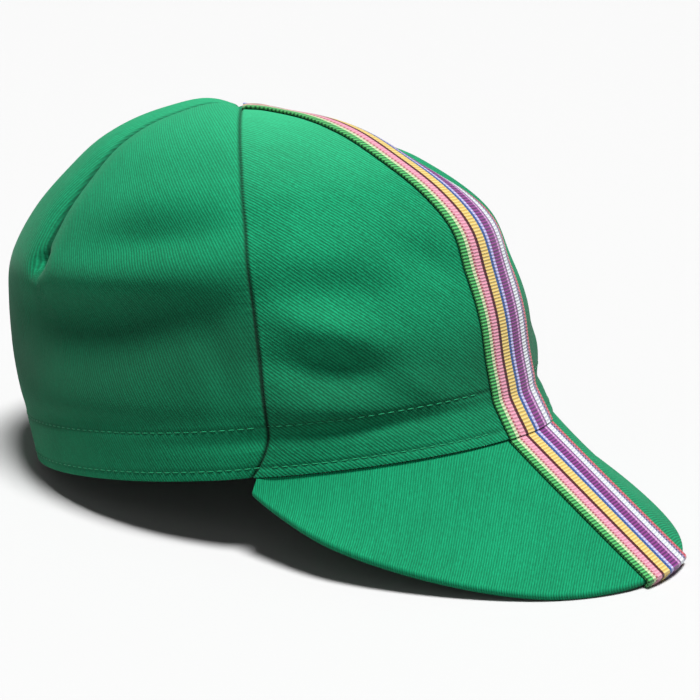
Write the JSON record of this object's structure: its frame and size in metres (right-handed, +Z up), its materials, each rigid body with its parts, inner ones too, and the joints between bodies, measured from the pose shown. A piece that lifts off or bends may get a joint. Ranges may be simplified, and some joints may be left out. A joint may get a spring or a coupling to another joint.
{
  "type": "cycling cap",
  "caption": "Soft cotton cycling cap with a panelled crown, a short stiff peak and a striped ribbon from the top of the crown over the front to the peak's tip.",
  "frame": {"origin": "middle of the footprint, on the surface that the cap rests on", "axes": "+Z up, the peak towards -Y, the wearer's right towards -X"},
  "size_m": [0.1622, 0.263, 0.1336],
  "materials": {
    "green_twill": "matt cotton twill, bright green",
    "striped_ribbon": "ribbed woven ribbon with lengthways stripes in many colours"
  },
  "bodies": {
    "root": {"front_panel_right": "green_twill", "front_panel_left": "green_twill", "back_panel_right": "green_twill", "back_panel_left": "green_twill", "peak_top": "green_twill", "peak_under": "green_twill", "ribbon_crown": "striped_ribbon", "ribbon_peak": "striped_ribbon"}
  },
  "joints": []
}
